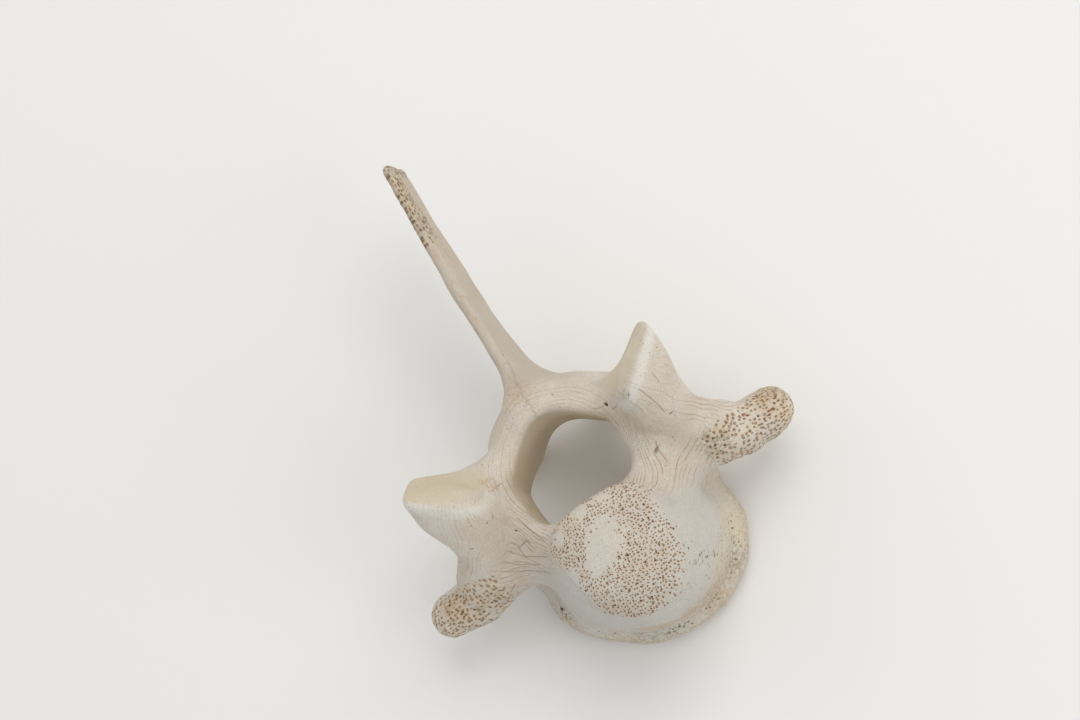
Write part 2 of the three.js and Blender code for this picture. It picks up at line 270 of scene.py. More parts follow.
def spine_field(x, y, z):
    """Neural spine: a long blade, thin in front and thicker behind, that bows a little."""
    s = np.clip((z - SPINE_FOOT_Z) / (SPINE_TIP_Z - SPINE_FOOT_Z - 4), 0, 1)
    tip_swell = 1.5 * np.exp(-(((s - 1) / 0.12) ** 2))
    front = SPINE_FRONT_Y + 13 * s**0.75 - tip_swell
    rear = SPINE_REAR_Y - 3 * s + 6 * np.exp(-s / 0.08) + tip_swell
    bow = -1.6 * np.sin(np.pi * s**0.8) - 2 * s
    middle = (front + rear) / 2
    half = (rear - front) / 2
    v = np.clip((y - front) / (rear - front), 0, 1)
    thickness = (2.1 + 3.0 * v) * (1 - 0.34 * s) + 6 * v * np.exp(-s / 0.1)
    profile = np.sqrt(((x - bow) / thickness) ** 2 + ((y - middle) / half) ** 6)
    blade = soft_max((profile - 1) * thickness, np.abs(y - middle) - half, 3)
    blade = soft_max(blade, z - SPINE_TIP_Z, 3)
    return soft_max(blade, 28 - z, 3)


def untwisted(p):
    """Points in the frame in which the two sides mirror each other, with x on the left side."""
    x, y, z = p.T
    rolled = z - TWIST * x * np.clip((22 - y) / 25, 0, 1)
    across = x - LEAN * np.clip((-6 - rolled) / 30, 0, 1) ** 2
    return np.stack([np.abs(across), y, rolled], 1)


def bone_field(p):
    """The whole bone: negative inside."""
    x, y, z = p.T
    q = untwisted(p)
    right_share = np.clip(-x / 20, 0, 1)
    bone = body_field(q)
    for piece, rounding in (
        (arch_field(q), 7), (transverse_field(q, right_share), 8), (front_process_field(q), 9),
        (rear_process_field(q), 5),
    ):
        bone = soft_min(bone, piece, rounding)
    rear_notch = ellipsoid(q, (0, 58, 32), (9, 16, 14))
    bone = soft_max(bone, -rear_notch, 4)
    bone = soft_min(bone, spine_field(x, y, q[:, 2]), 16)
    bone = soft_max(bone, -canal_field(q), 3)
    floor_face = y * math.cos(REST_TILT) - z * math.sin(REST_TILT) - REST_REACH
    return soft_max(bone, floor_face, 0.4)


def slope_at(p, h=0.05):
    """Gradient of the field."""
    steps = np.eye(3) * h
    return np.stack([(bone_field(p + s) - bone_field(p - s)) / (2 * h) for s in steps], 1)


def pull_to_surface(p, passes, reach):
    """Moves points on to the surface of the field in a few short steps."""
    for _ in range(passes):
        slope = slope_at(p)
        steep = np.maximum((slope**2).sum(1), 0.25)
        move = np.clip(bone_field(p) / steep, -reach, reach)
        p = p - move[:, None] * slope
    return p


def surface_mesh(low, high, cell):
    """Closed mesh of the bone: one vertex in each grid cell that the surface crosses."""
    axes = [np.arange(a, b + cell, cell) for a, b in zip(low, high)]
    grid = np.stack(np.meshgrid(*axes, indexing="ij"), -1)
    values = bone_field(grid.reshape(-1, 3)).reshape(grid.shape[:3])
    inside = values < 0
    corners = [np.array((i, j, k)) for i in (0, 1) for j in (0, 1) for k in (0, 1)]
    size = np.array(values.shape)
    filled = np.zeros(size - 1, int)
    for corner in corners:
        filled += inside[tuple(slice(c, c + n - 1) for c, n in zip(corner, size))]
    cells = np.argwhere((filled > 0) & (filled < 8))
    index = np.full(size - 1, -1)
    index[tuple(cells.T)] = np.arange(len(cells))
    total = np.zeros((len(cells), 3))
    crossings = np.zeros(len(cells))
    edges = [(a, a + step) for a in corners for step in np.eye(3, dtype=int)[::-1] if (a + step).max() < 2]
    for a, b in edges:
        va = values[tuple((cells + a).T)]
        vb = values[tuple((cells + b).T)]
        crossed = (va < 0) != (vb < 0)
        t = np.where(crossed, va / np.where(crossed, va - vb, 1), 0)
        total += np.where(crossed[:, None], a + t[:, None] * (b - a), 0)
        crossings += crossed
    vertices = low + cell * (cells + total / crossings[:, None])
    triangles = []
    for axis in range(3):
        step, side_u, side_v = (np.eye(3, dtype=int)[(axis + turn) % 3] for turn in range(3))
        beyond = np.roll(inside, -step, (0, 1, 2))
        here = np.argwhere((inside != beyond)[1:-1, 1:-1, 1:-1]) + 1
        ring = [index[tuple((here - off).T)] for off in (side_u + side_v, side_v, 0 * step, side_u)]
        ring = np.stack(ring, 1)
        leaves = inside[tuple(here.T)]
        ring[~leaves] = ring[~leaves][:, ::-1]
        triangles += [ring[:, [0, 1, 2]], ring[:, [0, 2, 3]]]
    return vertices, np.concatenate(triangles)


def edge_pairs(triangles):
    """The two ends of every edge of every triangle: first all the edges 01, then 12, then 20."""
    return np.concatenate([triangles[:, [0, 1]], triangles[:, [1, 2]], triangles[:, [2, 0]]])


def summed(places, values, count):
    """Sum of the rows of values that belong to each place."""
    return np.stack([np.bincount(places, column, count) for column in values.T], 1)


def relaxed(vertices, triangles):
    """Evens out the spacing of the vertices along the surface."""
    ends = edge_pairs(triangles)
    ends = np.concatenate([ends, ends[:, ::-1]])
    total = summed(ends[:, 0], vertices[ends[:, 1]], len(vertices))
    count = np.bincount(ends[:, 0], minlength=len(vertices))
    return 0.5 * vertices + 0.5 * total / count[:, None]


def split_long_edges(vertices, triangles, size_at):
    """Halves every edge longer than the size wanted there, and splits the triangles to match."""
    pairs = np.sort(edge_pairs(triangles), axis=1)
    keys = pairs[:, 0] * len(vertices) + pairs[:, 1]
    keys, first, edge_of = np.unique(keys, return_index=True, return_inverse=True)
    starts, ends = vertices[pairs[first]].transpose(1, 0, 2)
    middle = (starts + ends) / 2
    long = np.linalg.norm(starts - ends, axis=1) > size_at(middle)
    new = np.full(len(keys), -1)
    new[long] = len(vertices) + np.arange(long.sum())
    mid = new[edge_of].reshape(3, -1).T
    cuts = (mid >= 0).sum(1)
    # Columns 0 to 2 are a triangle's corners, and 3 to 5 the middles of its edges 01, 12 and 20
    points = np.concatenate([triangles, mid], 1)
    parts = [triangles[cuts == 0]]
    parts += [points[cuts == 3][:, t] for t in ((0, 3, 5), (3, 1, 4), (5, 4, 2), (3, 4, 5))]
    for k in range(3):
        order = [k, (k + 1) % 3, (k + 2) % 3]
        turned = points[:, order + [3 + place for place in order]]
        one_cut = turned[(cuts == 1) & (mid[:, k] >= 0)]
        two_cuts = turned[(cuts == 2) & (mid[:, k] < 0)]
        parts += [one_cut[:, t] for t in ((0, 3, 2), (3, 1, 2))]
        parts += [two_cuts[:, t] for t in ((0, 1, 4), (0, 4, 5), (5, 4, 2))]
    return np.concatenate([vertices, middle[long]]), np.concatenate(parts)


# Marks that the photo shows, in pixels of the photo. Each is cast on to the bone along its own ray.
# The outline of the porous face of the head, and its smooth patches as (x, y, radius)
HEAD_OUTLINE = [
    (549, 532), (556, 523), (580, 506), (600, 494), (629, 479), (643, 478), (660, 502), (684, 538),
    (691, 557), (690, 576), (685, 593), (668, 617), (650, 627), (632, 626), (613, 620), (595, 602),
    (569, 576), (553, 552),
]
SMOOTH_PATCHES = [
    (609, 541, 22), (604, 560, 18), (563, 541, 11), (584, 516, 11), (606, 504, 8), (577, 580, 9),
]
# Vessel holes: pixel, radius and half length in millimetres, turn in degrees, depth in millimetres,
# and how dark it is
FORAMINA = [
    ((661, 455), 0.8, 1.9, 80, 0.9, 0.35),
    ((610, 409.5), 0.6, 1.0, 0, 1.0, 1.0),
    ((675, 418), 0.3, 0.8, 20, 0.5, 0.8),
    ((476, 554), 0.35, 0.6, 0, 0.5, 0.6),
    ((521, 535), 0.3, 0.5, 0, 0.5, 0.7),
    ((498, 522), 0.35, 1.0, 60, 0.6, 0.8),
    ((492, 527), 0.3, 0.5, 0, 0.4, 0.8),
    ((677, 533), 0.42, 0.5, 0, 0.6, 1.0),
    ((681, 530), 0.28, 0.3, 0, 0.4, 0.8),
    ((687, 549), 0.38, 0.5, 40, 0.5, 0.9),
    ((693, 552), 0.42, 0.6, 30, 0.6, 1.0),
    ((632, 559), 0.42, 0.45, 0, 0.7, 1.0),
    ((663, 548), 0.38, 0.4, 0, 0.7, 0.9),
    ((614, 619), 0.34, 0.4, 0, 0.5, 0.9),
    ((636, 632), 1.0, 1.3, 10, 0.8, 0.5),
    ((566, 613), 0.55, 1.0, 30, 0.8, 1.0),
]
# Cracks: half width in millimetres, and the pixels along the crack
CRACKS = [
    (0.15, [(643, 394), (655, 403), (663, 410), (669, 417)]),
    (0.12, [(622, 396), (636, 408), (648, 416)]),
    (0.12, [(656, 377), (664, 388)]),
    (0.16, [(522, 522), (534, 534), (542, 540), (550, 546)]),
    (0.17, [(524, 552), (529, 547), (532, 545), (535, 548)]),
    (0.13, [(512, 555), (522, 559), (532, 561), (548, 561), (562, 561)]),
    (0.13, [(506, 576), (519, 576), (532, 575), (548, 576), (562, 578)]),
    (0.12, [(508, 566), (524, 569), (545, 569)]),
    (0.2, [(520, 589), (518, 593), (516, 597)]),
    (0.12, [(507, 488), (502, 491), (498, 495), (493, 497)]),
    (0.17, [(621, 409), (621, 411), (619, 413), (616, 414)]),
    (0.15, [(598, 414), (604, 413), (609, 411)]),
]
# Groups of pinholes: middle and half size of the group, how many, and their radius in millimetres
SPECKS = [
    ((696, 541), (12, 12), 10, 0.2),
    ((712, 558), (14, 4), 22, 0.3),
    ((703, 567), (10, 3), 14, 0.3),
    ((733, 546), (13, 24), 70, 0.2),
    ((722, 575), (14, 12), 30, 0.2),
    ((700, 600), (24, 14), 80, 0.22),
    ((668, 632), (34, 9), 90, 0.24),
    ((606, 636), (14, 8), 10, 0.22),
    ((572, 616), (8, 8), 26, 0.3),
    ((649, 331), (5, 5), 9, 0.2),
    ((626, 400), (9, 5), 20, 0.18),
]
# Spots of stain: strength, and (x, y, reach in millimetres). The orange spots along the lower band of the
# body's tail end are painted shade as well as stain.
YELLOW_SPOTS = [(0.8, (735, 532, 12)), (0.7, (726, 562, 11)), (0.5, (577, 527, 6)), (0.5, (560, 565, 7))]
ORANGE_SPOTS = [
    (1.0, (716, 598, 13)), (1.0, (697, 614, 11)), (0.9, (665, 630, 10)), (0.5, (628, 640, 9)),
    (0.9, (735, 575, 7)), (0.9, (458, 612, 8)), (0.9, (772, 400, 8)), (0.7, (494, 489, 5)),
    (0.6, (575, 625, 6)), (0.5, (520, 400, 8)),
]
GREEN_SPOTS = [
    (1.0, (497, 604, 6)), (0.8, (488, 612, 5)), (1.0, (722, 450, 8)), (0.8, (710, 442, 6)),
    (0.7, (740, 560, 9)), (0.8, (571, 614, 6)), (0.6, (655, 640, 9)),
]
SEED = 7


def pixel_offsets(px, py):
    """How far a pixel of the photo lies to the right of and above the frame's middle, one unit away."""
    return (px - FRAME_WIDTH / 2) / FOCAL_LENGTH, (FRAME_HEIGHT / 2 - py) / FOCAL_LENGTH


def photo_camera():
    """Place of the photo's camera, and its right, up and forward directions, in the bone frame."""
    flat = math.cos(CAMERA_ELEVATION)
    away = np.array([
        math.sin(CAMERA_AZIMUTH) * flat,
        -math.cos(CAMERA_AZIMUTH) * flat,
        math.sin(CAMERA_ELEVATION),
    ])
    level = unit(np.cross(-away, (0, 0, 1)))
    upright = np.cross(level, -away)
    right = math.cos(CAMERA_ROLL) * level - math.sin(CAMERA_ROLL) * upright
    up = math.sin(CAMERA_ROLL) * level + math.cos(CAMERA_ROLL) * upright
    sideways, upwards = pixel_offsets(*AIM_PIXEL)
    aimed = Vector(right * sideways + up * upwards - away)
    turn = np.array(aimed.rotation_difference(Vector(-away)).to_matrix())
    return AIM + CAMERA_DISTANCE * away, np.stack([right, up, -away]) @ turn.T


CAMERA_PLACE, CAMERA_AXES = photo_camera()


def pixel_ray(px, py):
    """Direction from the camera through a pixel of the photo."""
    return unit(np.array([*pixel_offsets(px, py), 1.0]) @ CAMERA_AXES)


class Caster:
    """Finds where a ray meets the bone's base mesh."""

    def __init__(self, vertices, triangles):
        self.tree = BVHTree.FromPolygons(vertices.tolist(), triangles.tolist())

    def hit(self, start, direction):
        place, normal, _, _ = self.tree.ray_cast(Vector(start), Vector(direction))
        return None if place is None else (np.array(place), np.array(normal))

    def hit_pixel(self, px, py):
        return self.hit(CAMERA_PLACE, pixel_ray(px, py))


def depth_in_body(p):
    """How far a point lies inside the sides of the body."""
    return -body_section(untwisted(p))


class HeadFace:
    """The rough face of the body's head, where the growth plate has come off. Its outline is taken
    from the photo and laid on the bone, and then seen along y."""

    def __init__(self, caster):
        self.corners = np.array([self.corner(caster, px, py) for px, py in HEAD_OUTLINE])

    @staticmethod
    def corner(caster, px, py):
        """x and z of an outline pixel. One that just misses the bone is taken at the edge's depth."""
        edge_y = 6.0
        found = caster.hit_pixel(px, py)
        if found is not None:
            return found[0][[0, 2]]
        direction = pixel_ray(px, py)
        return (CAMERA_PLACE + direction * (edge_y - CAMERA_PLACE[1]) / direction[1])[[0, 2]]

    def depth(self, p):
        """Distance in from the outline: negative outside it."""
        q = p[:, [0, 2]]
        nearest = np.full(len(q), 1e9)
        inside = np.zeros(len(q), bool)
        for a, b in zip(self.corners, np.roll(self.corners, -1, 0)):
            along = b - a
            t = np.clip((q - a) @ along / (along @ along), 0, 1)
            nearest = np.minimum(nearest, np.linalg.norm(q - a - t[:, None] * along, axis=1))
            straddles = (a[1] > q[:, 1]) != (b[1] > q[:, 1])
            rise = b[1] - a[1] if b[1] != a[1] else 1e-9
            inside ^= straddles & (q[:, 0] < a[0] + (q[:, 1] - a[1]) * (b[0] - a[0]) / rise)
        return np.where(inside, nearest, -nearest)

    def share(self, p):
        """1 on the face, 0 off it."""
        under_dome = -dome_field(untwisted(p))
        return fade(self.depth(p), -0.35, 0.35) * fade(under_dome, 3.4, 2.0) * fade(p[:, 1], 14, 9)


def tip_share(p):
    """1 on the rough outer end of a transverse process, 0 off it."""
    x, y, z = untwisted(p).T
    limit = 44.5 + 3.4 * np.clip(z, -2.5, 4)
    return fade(x, limit - 1, limit + 2) * fade(y, 8, 12)


def spine_tip_share(p):
    """1 on the rough front edge and end of the neural spine, 0 off it."""
    y, z = p[:, 1], p[:, 2]
    front_edge = fade(z, 92, 99) * fade(y, 30.5, 27.5)
    return np.maximum(front_edge, fade(z, 118, 121))


def rim_share(p):
    """1 on the rim and in the socket at the body's tail end, 0 off them."""
    inside = depth_in_body(p)
    y, z = p[:, 1], p[:, 2]
    return fade(y, 42, 47) * fade(z, 4, -2) * fade(inside, 12, 9)


def pore(found, direction, radius, stretch, depth, darkness):
    """One small hollow, where a ray met the bone: its centre, the direction of its long axis, laid
    into the surface, its radius, how much longer it is than wide, its depth and its darkness."""
    place, normal = found
    direction = np.asarray(direction, float)
    along = unit(direction - (direction @ normal) * normal + 1e-9)
    return (*place, *along, radius, stretch, depth, darkness)


def smooth_patches(caster):
    """Centres and radii of the patches of the head that have hardly any pores."""
    return [(caster.hit_pixel(px, py)[0], radius * MM_PER_PIXEL) for px, py, radius in SMOOTH_PATCHES]


def pore_density(p, face, patches):
    """Share of the head's pore places that hold a pore, from 0 to 1."""
    density = 0.3 + 0.7 * fade(face.depth(p), 0.2, 2.2)
    for centre, radius in patches:
        reach = np.linalg.norm(p - centre, axis=1) + 1.5 * value_noise(p, 2.6, 8)
        density = density * (0.08 + 0.92 * fade(reach, radius - 1.4, radius + 0.8))
    return density * face.share(p)


def add_head_pores(pores, caster, face, rng):
    """The larger round pores of the head, in rows. The material adds the finer ones between them."""
    patches = smooth_patches(caster)
    row_gap = 1.22
    column_gap = 1.36
    large_share = 0.12
    in_front_y = -60
    for row, z in enumerate(np.arange(-43, 3, row_gap)):
        for x in np.arange(-19, 19, column_gap):
            shift = 0.5 * column_gap * (row % 2) + rng.normal(0, 0.22)
            wave = 0.9 * math.sin(0.21 * x + 0.17 * z) + rng.normal(0, 0.16)
            keep, size = rng.random(2)
            found = caster.hit((x + shift, in_front_y, z + wave), (0, 1, 0))
            if found is None or keep > large_share * pore_density(found[0][None], face, patches)[0]:
                continue
            pores.append(pore(found, (1, 0, 0.3), 0.25 + 0.12 * size, 1.2, 0.5, 0.6 + 0.4 * size))


def arm_axes(sign):
    """Root of the outer part of a transverse process, its length, and its three directions: out
    along it, and two across it."""
    root = np.array([34 * sign, 30, -1.5])
    knuckle = np.array([57 * sign, 37, -2.8])
    axis = unit(knuckle - root)
    across = sign * unit(np.cross(axis, (0, 0, 1)))
    return root, np.linalg.norm(knuckle - root), axis, across, np.cross(axis, across)


def add_tip_pores(pores, caster, rng, sign):
    """Rows of the larger, drawn-out pores along and round the rough end of a transverse process."""
    root, length, axis, across, third = arm_axes(sign)
    radius = 8.0
    row_gap = 1.3
    column_gap = 1.75
    large_share = 0.34
    rows = int(2 * math.pi * radius / row_gap)
    for row in range(rows):
        for s in np.arange(0, length + radius * math.pi / 2, column_gap):
            shift = 0.5 * column_gap * (row % 2) + rng.normal(0, 0.3)
            angle = 2 * math.pi * row / rows + rng.normal(0, 0.02)
            keep, size, tone = rng.random(3)
            round_end = max(0.0, (s + shift - length) / radius)
            out = math.cos(angle) * across + math.sin(angle) * third
            out = math.cos(round_end) * out + math.sin(round_end) * axis
            found = caster.hit(root + axis * min(s + shift, length), out)
            share = large_share * math.cos(round_end)
            if found is None or keep > share * tip_share(found[0][None])[0]:
                continue
            pores.append(pore(found, axis, 0.2 + 0.2 * size**2, 1.2 + 1.2 * tone, 0.8, 0.3 + 0.4 * size))


def add_spine_tip_pores(pores, caster, rng):
    """Loose pores on both sides of the rough front edge and end of the spine."""
    tries = 150
    left_share = 0.6
    for _ in range(tries):
        z = rng.uniform(93, 124)
        y = rng.uniform(20, 42)
        side, size = rng.random(2)
        sign = 1 if side < left_share else -1
        found = caster.hit((30 * sign - 2, y, z), (-sign, 0, 0))
        if found is None or rng.random() > 0.9 * spine_tip_share(found[0][None])[0]:
            continue
        pores.append(pore(found, (0, 0, 1), 0.24 + 0.2 * size, 1.6, 0.6, 0.75))


def add_specks(pores, caster, rng):
    """Loose groups of dark pinholes."""
    for (px, py), (rx, ry), count, radius in SPECKS:
        for _ in range(count):
            angle = rng.uniform(0, 2 * math.pi)
            reach = math.sqrt(rng.random())
            size = rng.random()
            found = caster.hit_pixel(px + rx * reach * math.cos(angle), py + ry * reach * math.sin(angle))
            if found is not None:
                girth = radius * (0.7 + 0.6 * size)
                pores.append(pore(found, (0.6, 0.3, 0.5), girth, 1.5, 0.5, 0.8 + 0.2 * size))


def add_foramina(pores, caster):
    """Holes for small vessels, and single large pores."""
    for (px, py), radius, longest, turn, depth, darkness in FORAMINA:
        turn = math.radians(turn)
        seen = math.cos(turn) * CAMERA_AXES[0] + math.sin(turn) * CAMERA_AXES[1]
        pores.append(pore(caster.hit_pixel(px, py), seen, radius, longest / radius, depth, darkness))


def crack_points(caster):
    """Points along the cracks, a short step apart, each with the crack's half width."""
    points = []
    for half_width, line in CRACKS:
        line = np.array(line, float)
        for a, b in zip(line[:-1], line[1:]):
            steps = int(np.linalg.norm(b - a) * MM_PER_PIXEL / CRACK_STEP) + 1
            for t in np.arange(steps) / steps:
                found = caster.hit_pixel(*(a + t * (b - a)))
                if found is not None:
                    points.append((*found[0], half_width))
    return np.array(points)


def voxel_keys(p, size):
    """One whole number for each point, the same for all points in one cube of that size."""
    cubes_each_way = 1024
    cell = np.floor(p / size).astype(np.int64) + cubes_each_way // 2
    return (cell[:, 0] * cubes_each_way + cell[:, 1]) * cubes_each_way + cell[:, 2]


def neighbourhood(p, size):
    """Keys of the voxels that hold the points and of those next to them."""
    near = [p + size * np.array((i, j, k)) for i in (-1, 0, 1) for j in (-1, 0, 1) for k in (-1, 0, 1)]
    return np.unique(voxel_keys(np.concatenate(near), size))


def edge_sizes(face, marks):
    """Function that gives the longest edge wanted at each point. A mark is a voxel size, the keys of
    the voxels near that kind of mark, and the edge wanted there."""
    def size_at(p):
        rough = [
            (rim_share(p), RIM_EDGE),
            (spine_tip_share(p), TIP_EDGE),
            (tip_share(p), TIP_EDGE),
            (face.share(p), HEAD_EDGE),
        ]
        zones = [(share > 0.02, edge) for share, edge in rough]
        zones += [(np.isin(voxel_keys(p, voxel), keys), edge) for voxel, keys, edge in marks]
        size = np.full(len(p), COARSE_EDGE)
        for zone, edge in zones:
            size = np.where(zone, np.minimum(size, edge), size)
        return size
    return size_at


def value_noise(p, size, seed):
    """Smooth noise from -1 to 1, with features of that size. The large numbers only scramble each
    cell's place into a whole number that looks random."""
    q = p / size
    low = np.floor(q)
    f = q - low
    f = f * f * (3 - 2 * f)
    cell = low.astype(np.int64)
    total = np.zeros(len(p))
    for corner in range(8):
        offset = np.array([corner & 1, corner >> 1 & 1, corner >> 2 & 1])
        key = (cell + offset) @ np.array([73856093, 19349663, 83492791]) + seed * 2654435
        key = (key ^ (key >> 13)) * 1274126177 & 0x7FFFFFFF
        key = (key ^ (key >> 11)) & 0xFFFF
        weight = np.where(offset, f, 1 - f).prod(1)
        total += weight * (key / 32767.5 - 1)
    return total


def point_tree(points):
    """Search tree of the points, by their places in the array."""
    tree = KDTree(len(points))
    for index, place in enumerate(points.tolist()):
        tree.insert(place, index)
    tree.balance()
    return tree


def stamp_pores(pores, vertices):
    """Depth of the pores at each vertex, and how dark each vertex is."""
    depth = np.zeros(len(vertices))
    dark = np.zeros(len(vertices))
    tree = point_tree(vertices)
    for row in pores:
        centre, along = row[:3], row[3:6]
        radius, stretch, deep, darkness = row[6:]
        near = np.array([i for _, i, _ in tree.find_range(centre.tolist(), radius * stretch * 1.3)], int)
        if not len(near):
            continue
        off = vertices[near] - centre
        length = off @ along
        rest = np.linalg.norm(off - length[:, None] * along, axis=1)
        bowl = fade(np.sqrt((length / stretch) ** 2 + rest**2) / radius, 1.25, 0.25)
        depth[near] = np.maximum(depth[near], bowl * deep)
        dark[near] = np.maximum(dark[near], bowl * darkness)
    return depth, dark


def stamp_cracks(points, vertices):
    """Share of a crack's depth at each vertex."""
    share = np.zeros(len(vertices))
    search = 1.0
    tree = point_tree(points[:, :3])
    near = np.isin(voxel_keys(vertices, search), neighbourhood(points[:, :3], search))
    for i in np.flatnonzero(near):
        _, index, distance = tree.find(vertices[i].tolist())
        half_width = points[index, 3]
        share[i] = max(0.0, 1 - distance / (1.9 * half_width))
    return share * share * (3 - 2 * share)


def grain_flow(p):
    """Coordinates of the bone's grain in millimetres: two across it and one along it. The grain runs
    round the canal in the arch, down the pedicles, and out along the transverse processes. Above the
    crease it curves round a far upper corner, and below it round a lower one."""
    a, y, z = untwisted(p).T
    knot = (25.0, 3.0)
    upper_corner = (66.0, 38.0)
    lower_corner = (52.0, -34.0)
    side_gap = 40

    def nearer(corner):
        """How much nearer to the corner a point lies than the knot does."""
        reach = math.hypot(knot[0] - corner[0], knot[1] - corner[1])
        return reach - np.hypot(a - corner[0], z - corner[1])

    crease = 12.5 - 0.32 * a
    outer = blend(fade(z, crease - 1.2, crease + 1.2), nearer(lower_corner), nearer(upper_corner))
    round_canal = np.hypot(a, z - CANAL_CENTRE_Z)
    knot_radius = math.hypot(knot[0], knot[1] - CANAL_CENTRE_Z)
    outward = fade(round_canal, knot_radius - 6, knot_radius + 4)
    swirl = np.exp(-(((a - knot[0]) / 5.0) ** 2) - ((z - knot[1]) / 6.0) ** 2)
    across = blend(outward, round_canal - knot_radius, outer) + 5.5 * swirl
    along = np.arctan2(z - CANAL_CENTRE_Z, a) * 20 + a
    spine = fade(z, 34, 48)
    across = blend(spine, across, y - 0.12 * z)
    second = blend(spine, y, p[:, 0])
    along = blend(spine, along, z)
    wobble = value_noise(p, 9.0, 3)
    across = across + 0.8 * wobble + side_gap * np.sign(p[:, 0])
    return np.stack([across, second + 0.5 * wobble, along], 1)


def pore_cells(p):
    """Coordinates in which each unit cell holds one fine pore: rows across the head of the body,
    lengthwise cells on the outer ends of the transverse processes, and upright ones on the spine."""
    x, y, z = p.T
    arm_radius = 7.5
    arm_start = 36
    spine_start = 60
    cells = np.stack([x + 0.3 * np.sin(0.45 * z), z / 0.92 + 0.4 * np.sin(0.3 * x), 0 * x], 1)
    for sign in (1, -1):
        root, _, axis, across, third = arm_axes(sign)
        off = p - root
        angle = np.arctan2(off @ third, off @ across)
        on_arm = np.stack([off @ axis / 1.5, arm_radius * angle / 1.02, 0 * x], 1)
        cells = np.where((sign * x > arm_start)[:, None], on_arm, cells)
    on_spine = np.stack([(x + y) / 1.2, z / 1.8, 0 * x], 1)
    return np.where((z > spine_start)[:, None], on_spine, cells)


def zone_masks(p, normals, face, patches):
    """Where each finish shows, and where the canal wall's painted warm light shows, from 0 to 1, before
    the fine variation of the material.
    """
    q = untwisted(p)
    a, y, z = q.T
    inside = depth_in_body(p)
    on_body = fade(inside, 9, 3) * fade(z, -5, -14)
    canal_radius = np.hypot(a / (CANAL_WIDTH / 2), (z - CANAL_CENTRE_Z) / (CANAL_HEIGHT / 2))
    radial = np.stack([p[:, 0], 0 * y, z - CANAL_CENTRE_Z], 1)
    facing_in = -(radial * normals).sum(1) / (np.linalg.norm(radial, axis=1) + 1e-6)
    # Canal wall: partly the bone's own browner inside, partly painted warm light that lifts the shaded
    # wall of the canal.
    canal = fade(canal_radius, 1.32, 1.12) * fade(facing_in, 0.2, 0.6) * fade(y, 8, 18)
    on_facet = fade(a, 20, 24) * fade(y, 14, 8)
    below_facet = flat_face(q, FACET_TIP, FACET_FACING)
    facet = fade(below_facet, -1.6, -0.4) * on_facet * fade(normals[:, 2], 0.3, 0.6)
    lip = fade(below_facet, -4.2, -2.4) * fade(below_facet, 0.2, -0.9) * on_facet * (1 - facet)
    head = face.share(p)
    tip = np.maximum(tip_share(p), spine_tip_share(p))
    pedicle = fade(np.hypot(a - 24, (z - 2) * 0.9), 20, 8) * fade(normals[:, 1], 0.3, -0.3)
    arm = fade(a, 24, 34) * fade(normals[:, 1], 0.4, -0.2) * 0.45
    crease = np.exp(-(((z - 12.5 + 0.32 * a) / 3.2) ** 2)) * fade(a, 26, 30)
    seen_side = 0.15 + 0.85 * np.maximum(fade(normals[:, 1], 0.1, -0.4), fade(z, 40, 50))
    grain = np.clip(pedicle + arm + 0.45, 0, 1) * (1 - on_body * 0.8) * (1 - 0.6 * facet)
    grain = grain * (1 - head) * (1 - 0.8 * tip)
    grain = grain * (1 - 0.85 * crease) * (1 - 0.6 * fade(y, 8, 3)) * seen_side
    tip_pores = tip * (0.8 + 0.4 * value_noise(p, 3.0, 9))
    return {
        "head": head, "tip": tip, "grain": grain, "canal": canal, "facet": facet, "lip": lip,
        "cool": on_body * fade(y, 50, 36),
        "rim": rim_share(p),
        "spine": fade(z, 33, 42),
        "pores": np.maximum(pore_density(p, face, patches), tip_pores),
    }


def stains_and_shade(p, caster, spots):
    """Strength of the staining at each point, and of the painted shade that the orange spots along the
    body's lower band also stand for. Each is strongest at its pixel and fades out at its reach.
    """
    strengths = []
    for strength, (px, py, reach) in spots:
        centre, _ = caster.hit_pixel(px, py)
        strengths.append(strength * fade(np.linalg.norm(p - centre, axis=1), reach, 0.2 * reach))
    return np.max(strengths, 0)


def vertex_normals(vertices, triangles):
    """Unit normals of the vertices: the mean of their triangles' normals, weighted by area."""
    corners = vertices[triangles]
    faces = np.cross(corners[:, 1] - corners[:, 0], corners[:, 2] - corners[:, 0])
    total = sum(summed(column, faces, len(vertices)) for column in triangles.T)
    return total / (np.linalg.norm(total, axis=1)[:, None] + 1e-12)


def make_marks(caster, face):
    """All the pores and holes of the bone, and the points along its cracks."""
    rng = np.random.default_rng(SEED)
    pores = []
    add_head_pores(pores, caster, face, rng)
    for sign in (1, -1):
        add_tip_pores(pores, caster, rng, sign)
    add_spine_tip_pores(pores, caster, rng)
    add_specks(pores, caster, rng)
    add_foramina(pores, caster)
    return np.array(pores), crack_points(caster)


def relief(vertices, masks):
    """Height of the bone's slight unevenness at each vertex, in millimetres."""
    lumps = 0.28 * value_noise(vertices, 13.0, 1) + 0.13 * value_noise(vertices, 5.0, 2)
    rough = masks["tip"] + masks["rim"]
    lumps += rough * (0.3 * value_noise(vertices, 3.4, 6) + 0.22 * value_noise(vertices, 1.7, 4))
    return lumps + masks["head"] * (0.5 + 0.06 * value_noise(vertices, 1.2, 5))


